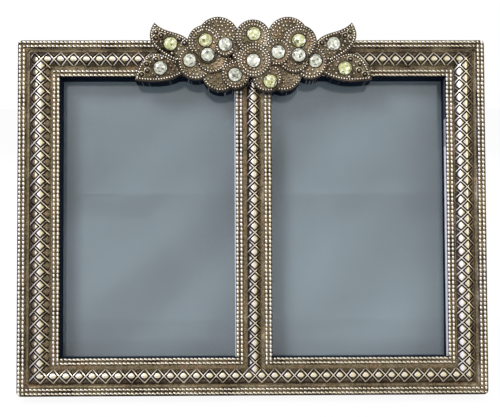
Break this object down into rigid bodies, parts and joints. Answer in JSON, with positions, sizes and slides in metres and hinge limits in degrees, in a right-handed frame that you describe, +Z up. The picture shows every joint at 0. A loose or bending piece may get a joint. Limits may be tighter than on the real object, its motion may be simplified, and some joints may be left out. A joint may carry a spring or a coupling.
{
  "type": "double photo frame",
  "caption": "Small standing double photo frame with a beaded, domed metal border, a jewelled floral crest, glazed windows, a turn-button back and a folding easel leg.",
  "frame": {"origin": "middle of the bounding box at table height, with the frame standing on its lower rear edge and its open leg", "axes": "+X to the right as seen from the front, +Y from the front to the back, +Z up"},
  "size_m": [0.118, 0.0396, 0.0952],
  "materials": {
    "cast_metal": "antique",
    "yellow_stone": "polished",
    "clear_stone": "polished",
    "glass": "clear",
    "card": "matte",
    "board": "matte",
    "velvet": "matte",
    "steel": "satin"
  },
  "bodies": {
    "frame": {"front_casting": "cast_metal", "crest_casting": "cast_metal", "stone_1": "yellow_stone", "stone_2": "clear_stone", "stone_3": "clear_stone", "stone_4": "yellow_stone", "stone_5": "clear_stone", "stone_6": "clear_stone", "stone_7": "yellow_stone", "stone_8": "clear_stone", "stone_9": "clear_stone", "stone_10": "clear_stone", "stone_11": "yellow_stone", "stone_12": "clear_stone", "stone_13": "clear_stone", "stone_14": "clear_stone", "stone_15": "yellow_stone", "stone_16": "yellow_stone", "left_glass": "glass", "right_glass": "glass", "left_insert_card": "card", "right_insert_card": "card", "back_board": "board", "back_facing": "velvet", "button_screws": "steel", "hinge_plate": "steel", "hinge_pin": "steel", "hinge_rivets": "steel"},
    "leg": {"leg_leaf": "steel", "easel_leg": "board", "leg_facing": "velvet", "leg_rivets": "steel"},
    "upper_left_button": {"upper_left_turn_button": "steel"},
    "upper_right_button": {"upper_right_turn_button": "steel"},
    "lower_left_button": {"lower_left_turn_button": "steel"},
    "lower_right_button": {"lower_right_turn_button": "steel"},
    "left_button": {"left_turn_button": "steel"},
    "right_button": {"right_turn_button": "steel"}
  },
  "joints": [
    {"name": "easel_leg_hinge", "type": "hinge", "parent": "frame", "child": "leg", "pos_m": [0.00035, 0.00518, 0.06423], "axis": [-1, 0, 0], "range_deg": [0, 24]},
    {"name": "upper_left_button_pivot", "type": "hinge", "parent": "frame", "child": "upper_left_button", "pos_m": [-0.0262, 0.00836, 0.0852], "axis": [0, 0.9781, -0.2079], "range_deg": [-90, 90]},
    {"name": "upper_right_button_pivot", "type": "hinge", "parent": "frame", "child": "upper_right_button", "pos_m": [0.0269, 0.00836, 0.0852], "axis": [0, 0.9781, -0.2079], "range_deg": [-90, 90]},
    {"name": "lower_left_button_pivot", "type": "hinge", "parent": "frame", "child": "lower_left_button", "pos_m": [-0.0262, -0.00925, 0.00235], "axis": [0, 0.9781, -0.2079], "range_deg": [-90, 90]},
    {"name": "lower_right_button_pivot", "type": "hinge", "parent": "frame", "child": "lower_right_button", "pos_m": [0.0269, -0.00925, 0.00235], "axis": [0, 0.9781, -0.2079], "range_deg": [-90, 90]},
    {"name": "left_button_pivot", "type": "hinge", "parent": "frame", "child": "left_button", "pos_m": [-0.0562, -0.00044, 0.0438], "axis": [0, 0.9781, -0.2079], "range_deg": [-90, 90]},
    {"name": "right_button_pivot", "type": "hinge", "parent": "frame", "child": "right_button", "pos_m": [0.05655, -0.00044, 0.0438], "axis": [0, 0.9781, -0.2079], "range_deg": [-90, 90]}
  ]
}
